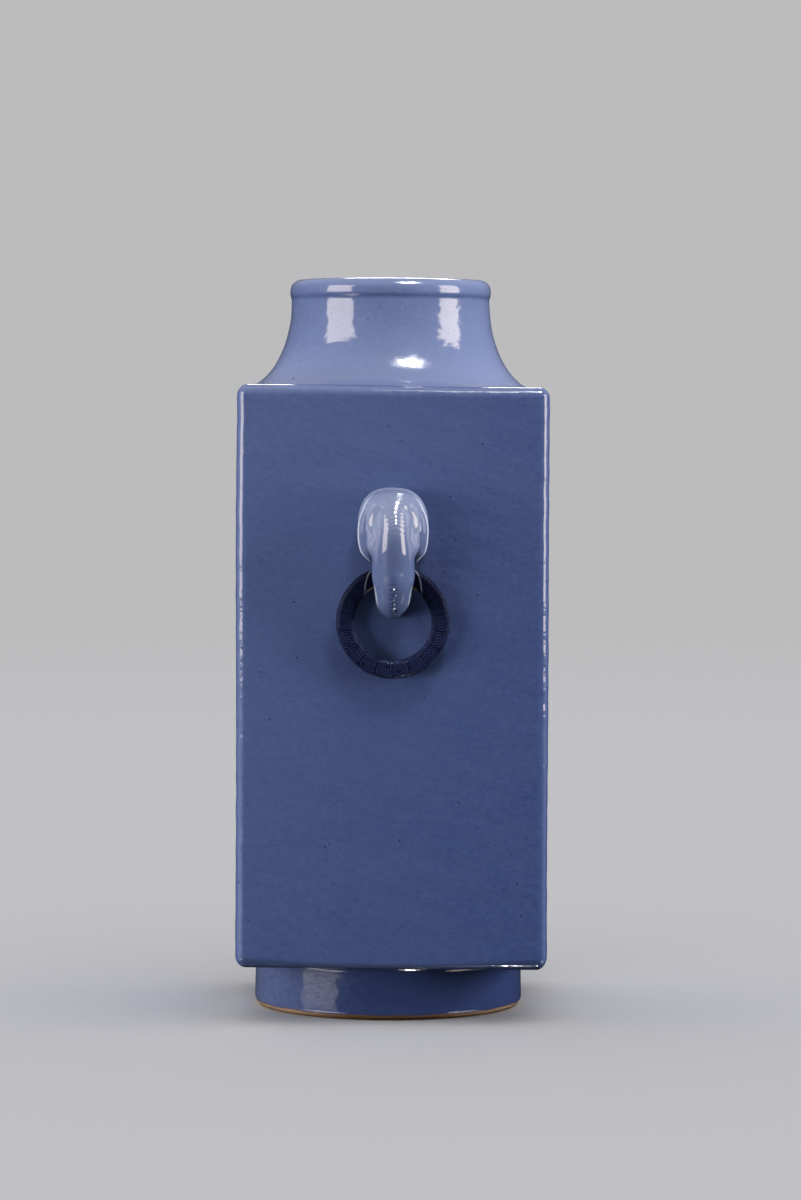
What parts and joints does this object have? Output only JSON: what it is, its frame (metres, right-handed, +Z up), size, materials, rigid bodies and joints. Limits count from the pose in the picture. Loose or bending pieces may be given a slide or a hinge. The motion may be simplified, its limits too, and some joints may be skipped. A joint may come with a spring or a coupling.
{
  "type": "cong vase",
  "caption": "Square slab-built porcelain vase with a round foot, flared neck and rolled lip, in sky-blue glaze, with elephant-head handles that hold loose dark rings.",
  "frame": {"origin": "on the table, under the middle of the round foot", "axes": "+Z up through the neck, -Y towards the front handle, +X to the viewer's right"},
  "size_m": [0.122, 0.1676, 0.29],
  "materials": {
    "sky_blue_glaze": "gloss",
    "foot_glaze": "gloss",
    "inside_glaze": "gloss",
    "handle_glaze": "gloss",
    "cobalt_glaze": "gloss"
  },
  "bodies": {
    "vase": {"front_wall": "sky_blue_glaze", "back_wall": "sky_blue_glaze", "left_wall": "sky_blue_glaze", "right_wall": "sky_blue_glaze", "shoulder_slab": "sky_blue_glaze", "floor_slab": "sky_blue_glaze", "neck": "sky_blue_glaze", "foot_ring": "foot_glaze", "corner_coil_front_left": "inside_glaze", "corner_coil_front_right": "inside_glaze", "corner_coil_back_right": "inside_glaze", "corner_coil_back_left": "inside_glaze", "floor_seam_coils": "inside_glaze", "shoulder_seam_coils": "inside_glaze", "front_elephant_head": "handle_glaze", "back_elephant_head": "handle_glaze", "front_left_ear": "handle_glaze", "front_right_ear": "handle_glaze", "back_left_ear": "handle_glaze", "back_right_ear": "handle_glaze"},
    "front_ring": {"front_ring": "cobalt_glaze"},
    "back_ring": {"back_ring": "cobalt_glaze"}
  },
  "joints": [
    {"name": "front_ring_swing", "type": "hinge", "parent": "vase", "child": "front_ring", "pos_m": [0, -0.0651, 0.1748], "axis": [-1, 0, 0], "range_deg": [-2, 124]},
    {"name": "back_ring_swing", "type": "hinge", "parent": "vase", "child": "back_ring", "pos_m": [0, 0.0651, 0.1748], "axis": [1, 0, 0], "range_deg": [-2, 124]}
  ]
}
